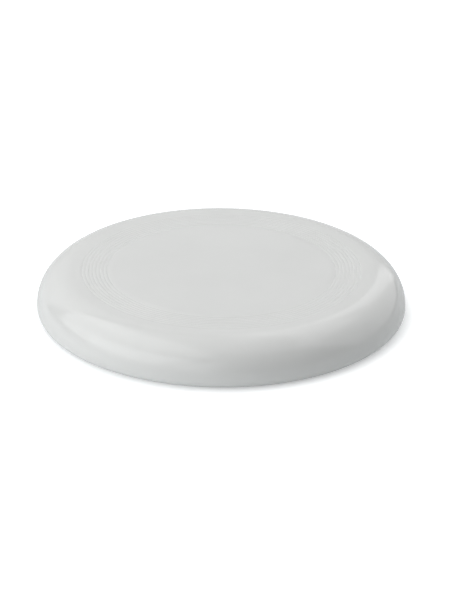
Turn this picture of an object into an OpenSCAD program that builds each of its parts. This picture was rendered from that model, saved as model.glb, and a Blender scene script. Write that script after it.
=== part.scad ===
// Flying disc for lawn games: one thin-walled moulding in white polypropylene.
// It is drawn as five regions of that moulding, which meet face to face: the flight plate, the
// band of fine rings, the shoulder, the rim wall and the rolled lip. Nothing on it moves.
// Millimetres, +Z up. The origin is on the disc's axis, in the plane that the lip rests on.

/* [Disc] */
// Outside diameter, across the widest circle
disc_d = 230; // [200:1:280]
// Thickness of the flight plate
plate_t = 1.8; // [1.4:0.1:2.2]
// Outside radius of the arc from the plate down to the widest circle
shoulder_r = 22; // [16:0.5:28]

/* [Lip] */
// Outside radius of the roll below the widest circle
lip_r = 5.5; // [4.5:0.5:8]
// Thickness of the lip, which the wall of the shoulder grows to
lip_t = 2.6; // [2.4:0.1:3.4]
// Width of the flat land that the disc rests on
land_w = 0.8; // [0.4:0.1:1.2]

/* [Rings] */
// Number of low crowned rings, each between two fine grooves
ring_n = 7; // [1:1:9]
// Distance from one ring's crest to the next
ring_pitch = 2.27; // [2:0.01:2.6]
// Height of a ring's crown above the plate
ring_h = 0.06; // [0.04:0.01:0.2]
// Width of a groove at the plate's surface
groove_w = 0.5; // [0.4:0.05:0.8]
// Depth of a groove below the plate's surface
groove_depth = 0.12; // [0.08:0.01:0.4]
// Smooth flat between the middle of the outermost groove and the start of the shoulder's arc
ring_gap = 6.1; // [3:0.1:12]
// Smooth flat between the middle of the innermost groove and the inner edge of the band
ring_margin = 1.4; // [1:0.1:4]

/* [Gate mark] */
// Diameter of the shallow recess under the middle of the plate, where the moulding was fed
gate_d = 9; // [6:0.5:14]
// Depth of that recess
gate_depth = 0.4; // [0.2:0.1:0.6]
// Diameter of the trimmed stub inside it
stub_d = 2.8; // [2:0.1:4]

/* [Hidden] */
$fn = 180;
white = [0.86, 0.87, 0.86];

disc_r = disc_d / 2;
top_z = lip_r + shoulder_r;
under_z = top_z - plate_t;
// Centre of the shoulder's outer arc, and of its inner arc, set further in so the wall thickens
arc_x = disc_r - shoulder_r;
inner_arc_r = shoulder_r - plate_t;
inner_arc_x = disc_r - lip_t - inner_arc_r;
// Where the shoulder ends and the rim wall begins, as an angle up from the widest circle
split_angle = 45;
// Middle of the outermost groove, and the inner edge of the band
groove_outer = arc_x - ring_gap;
band_r = groove_outer - ring_n * ring_pitch - ring_margin;
// A ring's foot is this much wider than the land between two grooves, whose sides trim it
foot_lap = 0.1;
ring_w = ring_pitch - groove_w + foot_lap;
// Radius of the arc over a ring, from its width and height
ring_arc_r = (ring_w * ring_w / 4 + ring_h * ring_h) / (2 * ring_h);
// Inner end of the roll, and the rounded nose that closes it
roll_x = disc_r - lip_r;
nose_r = lip_t / 2;
// A cutter goes past the face it opens by this much, so that no two faces of a cut coincide
over = 1;

// The flat middle, out to the band of rings
module flight_plate() {
    color(white) difference() {
        translate([0, 0, under_z]) cylinder(h = plate_t, r = band_r);
        translate([0, 0, under_z - over]) gate_recess();
    }
}

// A ring-shaped pocket round the trimmed stub, for cutting from below
module gate_recess() {
    difference() {
        cylinder(h = gate_depth + over, d = gate_d);
        translate([0, 0, -over]) cylinder(h = gate_depth + 3 * over, d = stub_d);
    }
}

// The flat annulus that carries the rings and grooves, out to the start of the shoulder's arc
module ring_band() {
    color(white) difference() {
        union() {
            rotate_extrude() translate([band_r, under_z]) square([arc_x - band_r, plate_t]);
            for (i = [0 : ring_n - 1])
                fine_ring(groove_outer - (i + 0.5) * ring_pitch);
        }
        for (i = [0 : ring_n])
            fine_groove(groove_outer - i * ring_pitch);
    }
}

// One low ring, an arc in section, with its crest at radius r and its root in the plate
module fine_ring(r) {
    rotate_extrude() intersection() {
        translate([r, top_z + ring_h - ring_arc_r]) circle(r = ring_arc_r);
        translate([r - ring_w, top_z - plate_t / 2]) square([2 * ring_w, plate_t]);
    }
}

// A V-shaped cutter for one groove with its middle at radius r, which widens above the plate too
module fine_groove(r) {
    reach = (groove_w / 2) * (groove_depth + ring_h + over) / groove_depth;
    rotate_extrude() translate([r, top_z])
        polygon([[0, -groove_depth], [reach, ring_h + over], [-reach, ring_h + over]]);
}

// The round shoulder, from the plate to halfway round the arc
module shoulder() {
    color(white) arc_wall(split_angle, 90);
}

// The rest of the arc, down to the widest circle
module rim_wall() {
    color(white) arc_wall(0, split_angle);
}

// The wall between the outer and the inner arc, from angle a1 to angle a2 above the widest circle
module arc_wall(a1, a2) {
    reach = 2 * shoulder_r;
    rotate_extrude() intersection() {
        difference() {
            translate([arc_x, lip_r]) circle(r = shoulder_r);
            translate([inner_arc_x, lip_r]) circle(r = inner_arc_r);
        }
        translate([arc_x, lip_r])
            polygon([[0, 0], [reach * cos(a1), reach * sin(a1)], [reach * cos(a2), reach * sin(a2)]]);
    }
}

// The roll below the widest circle, the land it rests on and its rounded nose
module lip() {
    color(white) rotate_extrude() {
        translate([roll_x, 0]) intersection() {
            translate([0, lip_r]) difference() {
                circle(r = lip_r);
                circle(r = lip_r - lip_t);
            }
            square([lip_r + over, lip_r]);
        }
        translate([roll_x - land_w, 0]) square([land_w, lip_t]);
        translate([roll_x - land_w, nose_r]) intersection() {
            circle(r = nose_r);
            translate([-nose_r - over, -nose_r - over])
                square([nose_r + over, 2 * (nose_r + over)]);
        }
    }
}

flight_plate();
ring_band();
shoulder();
rim_wall();
lip();
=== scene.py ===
import math

import bmesh
import bpy
from mathutils import Matrix, Quaternion, Vector


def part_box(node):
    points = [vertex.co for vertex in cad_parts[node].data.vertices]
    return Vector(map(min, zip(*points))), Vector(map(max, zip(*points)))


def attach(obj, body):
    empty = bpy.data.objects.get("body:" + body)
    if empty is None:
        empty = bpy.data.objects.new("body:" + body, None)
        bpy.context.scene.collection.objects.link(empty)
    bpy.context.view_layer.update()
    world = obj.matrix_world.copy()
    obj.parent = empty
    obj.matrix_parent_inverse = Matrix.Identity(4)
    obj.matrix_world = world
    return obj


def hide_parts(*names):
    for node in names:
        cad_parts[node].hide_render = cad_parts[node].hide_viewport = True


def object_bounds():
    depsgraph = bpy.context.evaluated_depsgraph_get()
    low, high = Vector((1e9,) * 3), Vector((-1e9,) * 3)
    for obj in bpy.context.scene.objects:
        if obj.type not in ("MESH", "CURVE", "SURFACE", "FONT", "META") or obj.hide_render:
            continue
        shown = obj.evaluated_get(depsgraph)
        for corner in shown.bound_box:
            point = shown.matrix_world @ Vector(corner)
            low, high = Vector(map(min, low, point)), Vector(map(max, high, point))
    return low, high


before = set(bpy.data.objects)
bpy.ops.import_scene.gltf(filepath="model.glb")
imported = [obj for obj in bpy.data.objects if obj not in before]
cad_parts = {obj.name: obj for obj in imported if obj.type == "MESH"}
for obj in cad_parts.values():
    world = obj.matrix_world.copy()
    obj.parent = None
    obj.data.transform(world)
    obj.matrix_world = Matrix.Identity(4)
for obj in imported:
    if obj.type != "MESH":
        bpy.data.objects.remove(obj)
cad_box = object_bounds()

# ---------------------------------------------------------------- sizes, in metres
# From the frame: the plate's top and underside, where the shoulder's arc starts, the lip
plate_lo, plate_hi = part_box("flight_plate")
band_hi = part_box("ring_band")[1]
lip_lo, lip_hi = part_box("lip")
DISC_R = (cad_box[1].x - cad_box[0].x) / 2
TOP_Z = plate_hi.z
UNDER_Z = plate_lo.z
ARC_X = band_hi.x
LIP_R = lip_hi.z - lip_lo.z
SHOULDER_R = TOP_Z - LIP_R
PLATE_T = TOP_Z - UNDER_Z

# The lip: thickness of the rolled wall, width of the land that it rests on
LIP_T = 0.0026
LAND_W = 0.0008

# The rings: seven low crowned ones, each between two fine grooves. From the shoulder's arc to
# the middle of the outermost groove is RING_GAP. Then the step from groove to groove, a groove's
# width at the top, its depth, and the height of a ring's crown
GROOVE_COUNT = 8
RING_GAP = 0.0061
GROOVE_OUTER = ARC_X - RING_GAP
GROOVE_PITCH = 0.00227
GROOVE_W = 0.0005
GROOVE_DEPTH = 0.00012
RING_H = band_hi.z - TOP_Z

# The gate mark under the middle of the plate: its radius and depth, the radius of the trimmed
# stub inside it, and how far their sloping walls reach
GATE_R = 0.0045
GATE_DEPTH = 0.0004
STUB_R = 0.0014
GATE_SLOPE = 0.0003
STUB_SLOPE = 0.0002

# The witness line that the mould's round ejector leaves on the underside: radius, width, depth
WITNESS_R = 0.026
WITNESS_W = 0.0005
WITNESS_DEPTH = 0.00008

# How finely the disc is cut up: steps round it, the longest step along an arc of its section,
# and the steps across a flat, a groove, a ring and the witness line
STEPS_ROUND = 256
ARC_STEP = math.radians(3)
PLATE_TOP_STEPS = 16
PLATE_UNDER_STEPS = 12
BESIDE_ARC_STEPS = 4
AROUND_GATE_STEPS = 8
LAND_STEPS = 2
GROOVE_STEPS = 10
RING_STEPS = 8
WITNESS_STEPS = 5


# ---------------------------------------------------------------- the disc's section
def arc(cx, cz, r, start, end):
    """Points on an arc about (cx, cz), without its first point. Angles are degrees from +r to +z."""
    a, b = math.radians(start), math.radians(end)
    n = math.ceil(abs(b - a) / ARC_STEP)
    return [(cx + r * math.cos(a + (b - a) * i / n), cz + r * math.sin(a + (b - a) * i / n))
            for i in range(1, n + 1)]


def straight(r0, r1, z, n):
    """n points along a level line, without its first point."""
    return [(r0 + (r1 - r0) * i / n, z) for i in range(1, n + 1)]


def groove(middle):
    """One fine groove with rounded lips and a rounded bottom, from its inner lip to its outer one."""
    steps = (2 * i / GROOVE_STEPS - 1 for i in range(1, GROOVE_STEPS + 1))
    return [(middle + GROOVE_W / 2 * t, TOP_Z - GROOVE_DEPTH * math.cos(math.pi * t / 2) ** 2)
            for t in steps]


def crowned_ring(inner, outer):
    """The low crown of one ring, from the lip of one groove to the lip of the next."""
    steps = (i / RING_STEPS for i in range(1, RING_STEPS + 1))
    return [(inner + (outer - inner) * t, TOP_Z + RING_H * math.sin(math.pi * t)) for t in steps]


def witness_line():
    """The shallow line that the ejector leaves in the underside, from its outer edge inwards."""
    steps = (1 - 2 * i / WITNESS_STEPS for i in range(1, WITNESS_STEPS + 1))
    return [(WITNESS_R + WITNESS_W / 2 * t, UNDER_Z + WITNESS_DEPTH * (1 - t * t)) for t in steps]


def section():
    """The whole outline, from the middle of the top, round the lip, to the middle of the underside."""
    points = [(0.0, TOP_Z)]
    middles = [GROOVE_OUTER - i * GROOVE_PITCH for i in reversed(range(GROOVE_COUNT))]
    points += straight(0.0, middles[0] - GROOVE_W / 2, TOP_Z, PLATE_TOP_STEPS)
    for middle in middles:
        if middle > middles[0]:
            points += crowned_ring(points[-1][0], middle - GROOVE_W / 2)
        points += groove(middle)
    points += straight(points[-1][0], ARC_X, TOP_Z, BESIDE_ARC_STEPS)
    points += arc(ARC_X, LIP_R, SHOULDER_R, 90, 0)
    roll_x = DISC_R - LIP_R
    points += arc(roll_x, LIP_R, LIP_R, 0, -90)
    nose_r = LIP_T / 2
    nose_x = roll_x - LAND_W
    points += straight(roll_x, nose_x, 0.0, LAND_STEPS)
    points += arc(nose_x, nose_r, nose_r, -90, -270)
    points += straight(nose_x, roll_x, LIP_T, LAND_STEPS)
    points += arc(roll_x, LIP_R, LIP_R - LIP_T, -90, 0)
    inner_r = SHOULDER_R - PLATE_T
    points += arc(DISC_R - LIP_T - inner_r, LIP_R, inner_r, 0, 90)
    points += straight(points[-1][0], WITNESS_R + WITNESS_W / 2, UNDER_Z, PLATE_UNDER_STEPS)
    points += witness_line()
    points += straight(points[-1][0], GATE_R, UNDER_Z, AROUND_GATE_STEPS)
    gate_z = UNDER_Z + GATE_DEPTH
    points += [(GATE_R - GATE_SLOPE, gate_z), (STUB_R + STUB_SLOPE, gate_z)]
    points += [(STUB_R, UNDER_Z), (0.0, UNDER_Z)]
    return points


def revolve(name, points, steps):
    """A closed mesh from a section whose first and last points are on the axis."""
    bm = bmesh.new()
    rings = []
    for r, z in points[1:-1]:
        rings.append([bm.verts.new((r * math.cos(a), r * math.sin(a), z))
                      for a in (2 * math.pi * i / steps for i in range(steps))])
    for upper, lower in zip(rings, rings[1:]):
        for i in range(steps):
            j = (i + 1) % steps
            bm.faces.new((upper[i], lower[i], lower[j], upper[j]))
    for pole, loop, flip in ((points[0], rings[0], False), (points[-1], rings[-1], True)):
        centre = bm.verts.new((0, 0, pole[1]))
        for i in range(steps):
            j = (i + 1) % steps
            face = (centre, loop[j], loop[i]) if flip else (centre, loop[i], loop[j])
            bm.faces.new(face)
    mesh = bpy.data.meshes.new(name)
    bm.to_mesh(mesh)
    bm.free()
    obj = bpy.data.objects.new(name, mesh)
    bpy.context.scene.collection.objects.link(obj)
    mesh.shade_smooth()
    return obj


# ---------------------------------------------------------------- materials
# White polypropylene at the deep and the light end of its clouds
PLASTIC_DEEP = (0.78, 0.79, 0.78)
PLASTIC_LIGHT = (0.80, 0.81, 0.80)
# Its roughness, how far that varies either way, how much rubbing adds, and the height above the
# floor where the rub marks have faded out
SATIN = 0.135
UNEVEN = 0.025
RUBBED = 0.2
RUB_HEIGHT = 0.004
# Noise scales, per metre, of the clouds, the unevenness, the rub marks and the mould's grain
CLOUD_SCALE = 28.0
UNEVEN_SCALE = 160.0
RUB_SCALE = 420.0
GRAIN_SCALE = 900.0
# The floor's glow as the camera sees it: low under and beside the disc, where it paints the disc's
# shadow on the floor, and full in the open. Then the share of it that also lights the foot of the disc
# from just beside it
PAINTED_SHADOW_GLOW = 0.34
GLOW_OPEN = 0.58
FOOT_GLOW = 0.32
# Where those two fade, as distances outside the disc's widest circle, and the middle of the
# painted soft shadow, a little towards the front right, away from the key
FOOT_FADE = (0.002, 0.012)
PAINTED_SHADOW_FADE = (-0.004, 0.006)
PAINTED_SHADOW_SHIFT = (0.0008, -0.0020, 0)
# The floor's white paper
PAPER = (0.72, 0.74, 0.75)
FLOOR_SIZE = 12


def new_material(name):
    mat = bpy.data.materials.new(name)
    mat.use_nodes = True
    nodes = mat.node_tree.nodes
    return mat, nodes, mat.node_tree.links, nodes["Principled BSDF"]


def map_range(mat, value, source, target, interpolation="LINEAR"):
    """A node that takes the value from the source range to the target range."""
    node = mat.node_tree.nodes.new("ShaderNodeMapRange")
    node.interpolation_type = interpolation
    for name, number in zip(("From Min", "From Max", "To Min", "To Max"), (*source, *target)):
        node.inputs[name].default_value = number
    mat.node_tree.links.new(value, node.inputs["Value"])
    return node.outputs["Result"]


def combine(mat, operation, a, b):
    """A maths node on two values."""
    node = mat.node_tree.nodes.new("ShaderNodeMath")
    node.operation = operation
    mat.node_tree.links.new(a, node.inputs[0])
    mat.node_tree.links.new(b, node.inputs[1])
    return node.outputs[0]


def white_plastic():
    """Satin white polypropylene as moulded: a faint cloudiness, a soft grain and a few rub marks."""
    mat, nodes, links, shader = new_material("white_plastic")
    place = nodes.new("ShaderNodeTexCoord").outputs["Object"]

    def noise(scale, detail):
        node = nodes.new("ShaderNodeTexNoise")
        node.inputs["Scale"].default_value = scale
        node.inputs["Detail"].default_value = detail
        links.new(place, node.inputs["Vector"])
        return node.outputs["Fac"]

    # Colour: slow, faint clouds of pigment
    clouds = map_range(mat, noise(CLOUD_SCALE, 3.0), (0.3, 0.7), (0.0, 1.0))
    colour = nodes.new("ShaderNodeMix")
    colour.data_type = "RGBA"
    colour.inputs["A"].default_value = (*PLASTIC_DEEP, 1)
    colour.inputs["B"].default_value = (*PLASTIC_LIGHT, 1)
    links.new(clouds, colour.inputs["Factor"])
    links.new(colour.outputs["Result"], shader.inputs["Base Color"])

    # Roughness: satin, a little uneven, and rubbed duller on the lip that it lands on
    uneven = map_range(mat, noise(UNEVEN_SCALE, 4.0), (0.3, 0.7), (SATIN - UNEVEN, SATIN + UNEVEN))
    split = nodes.new("ShaderNodeSeparateXYZ")
    links.new(place, split.inputs[0])
    low_down = map_range(mat, split.outputs["Z"], (0.0, RUB_HEIGHT), (1.0, 0.0))
    patches = map_range(mat, noise(RUB_SCALE, 6.0), (0.42, 0.62), (0.0, RUBBED))
    rubbed = combine(mat, "MULTIPLY", low_down, patches)
    links.new(combine(mat, "ADD", uneven, rubbed), shader.inputs["Roughness"])

    # Relief: the soft grain of the mould
    grain = nodes.new("ShaderNodeBump")
    grain.inputs["Strength"].default_value = 0.35
    grain.inputs["Distance"].default_value = 0.00002
    links.new(noise(GRAIN_SCALE, 3.0), grain.inputs["Height"])
    links.new(grain.outputs["Normal"], shader.inputs["Normal"])

    shader.inputs["IOR"].default_value = 1.49
    shader.inputs["Subsurface Weight"].default_value = 0.12
    shader.inputs["Subsurface Radius"].default_value = (1.0, 1.0, 1.0)
    shader.inputs["Subsurface Scale"].default_value = 0.0012
    return mat


def floor_material():
    """White paper. Its glow brings it to full white in the open and dies away under and beside the
    disc, which paints the disc's soft shadow on the floor. A little of the glow lights the foot of the
    disc from just beside it."""
    mat, nodes, links, shader = new_material("floor_white")
    reach = nodes.new("ShaderNodeVectorMath")
    reach.operation = "DISTANCE"
    reach.inputs[1].default_value = PAINTED_SHADOW_SHIFT
    links.new(nodes.new("ShaderNodeTexCoord").outputs["Object"], reach.inputs[0])

    def fade(start, end, inside, outside):
        """One value inside a circle, another outside it, and a soft step between. The step starts
        and ends at these distances outside the disc's widest circle."""
        circles = (DISC_R + start, DISC_R + end)
        return map_range(mat, reach.outputs["Value"], circles, (inside, outside), "SMOOTHSTEP")

    seen = nodes.new("ShaderNodeLightPath").outputs["Is Camera Ray"]
    foot = fade(*FOOT_FADE, FOOT_GLOW, 0.0)
    # Painted shadow: the glow the camera sees is lower under and just outside the disc, off towards
    # the front right
    glow_with_painted_shadow = fade(*PAINTED_SHADOW_FADE, PAINTED_SHADOW_GLOW, GLOW_OPEN)
    glow_with_painted_shadow = combine(mat, "MULTIPLY", glow_with_painted_shadow, combine(mat, "MAXIMUM", seen, foot))
    shader.inputs["Base Color"].default_value = (*PAPER, 1)
    shader.inputs["Roughness"].default_value = 1.0
    shader.inputs["Specular IOR Level"].default_value = 0.0
    shader.inputs["Emission Color"].default_value = (1, 1, 1, 1)
    links.new(glow_with_painted_shadow, shader.inputs["Emission Strength"])
    return mat


# ---------------------------------------------------------------- camera
# In front of the disc and above it, 18 disc radii away, with a long lens. The middle of the
# disc's foot is a little left of the middle of the view and below it, and the camera leans a little
CAMERA_ELEVATION = math.radians(24.75)
CAMERA_DISTANCE = 18 * DISC_R
CAMERA_LENS = 198.5
AIM_RIGHT = 0.0205 * DISC_R
AIM_UP = 0.0513 * DISC_R
CAMERA_ROLL = math.radians(0.38)


def add_camera():
    back = Vector((0, -math.cos(CAMERA_ELEVATION), math.sin(CAMERA_ELEVATION)))
    up = Vector((0, math.sin(CAMERA_ELEVATION), math.cos(CAMERA_ELEVATION)))
    aim = Vector((AIM_RIGHT, 0, 0)) + up * AIM_UP
    data = bpy.data.cameras.new("camera")
    data.lens = CAMERA_LENS
    data.sensor_width = 36
    cam = bpy.data.objects.new("camera", data)
    cam.location = back * CAMERA_DISTANCE
    cam.rotation_mode = "QUATERNION"
    level = (aim - cam.location).to_track_quat("-Z", "Y")
    cam.rotation_quaternion = level @ Quaternion((0, 0, 1), CAMERA_ROLL)
    data.clip_start, data.clip_end = 0.1, 50
    bpy.context.scene.collection.objects.link(cam)
    bpy.context.scene.camera = cam


add_camera()

disc = revolve("disc", section(), STEPS_ROUND)
disc.data.materials.append(white_plastic())
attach(disc, "root")
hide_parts("flight_plate", "ring_band", "shoulder", "rim_wall", "lip")

bpy.ops.mesh.primitive_plane_add(size=FLOOR_SIZE, location=(0, 0, 0))
floor = bpy.context.object
floor.name = "floor"
floor.data.materials.append(floor_material())


# ---------------------------------------------------------------- light
# Soft panels stand round the disc at this distance and face it. Each one's place is an azimuth
# in degrees (0 to the right, 90 behind the disc, 270 towards the camera) and an elevation.
PANEL_DISTANCE = 1.2
# Widths and heights of the panels, and their brightness
WIDE = (2.0, 1.5)
STRIP = (2.0, 0.8)
KEY = 1.1
SIDE = 0.95
FILL = 0.55


def add_panel(name, azimuth, elevation, size, brightness):
    """A soft white panel of the given width and height."""
    turn = (Matrix.Rotation(math.radians(azimuth + 90), 3, "Z")
            @ Matrix.Rotation(math.radians(90 - elevation), 3, "X"))
    data = bpy.data.lights.new(name, "AREA")
    data.shape = "RECTANGLE"
    data.size, data.size_y = size
    data.energy = math.pi * size[0] * size[1] * brightness
    obj = bpy.data.objects.new(name, data)
    obj.location = turn @ Vector((0, 0, PANEL_DISTANCE))
    obj.rotation_mode = "QUATERNION"
    obj.rotation_quaternion = turn.to_quaternion()
    bpy.context.scene.collection.objects.link(obj)


# The key stands on the left, with a strip low at the front left for the shoulder's highlight. A
# panel on the right reaches the back, and the front right is left dark, so that side of the rim
# falls away. A weaker panel overhead and one behind the disc light the plate.
add_panel("key", 195, 45, WIDE, KEY)
add_panel("low_strip", 225, 20, STRIP, KEY)
add_panel("right", 30, 35, WIDE, SIDE)
add_panel("overhead", 90, 85, WIDE, FILL)
add_panel("behind", 100, 15, WIDE, FILL)
world = bpy.data.worlds.new("studio")
bpy.context.scene.world = world
world.use_nodes = True
world.node_tree.nodes["Background"].inputs["Strength"].default_value = 0.0
bpy.context.scene.view_settings.view_transform = "Standard"
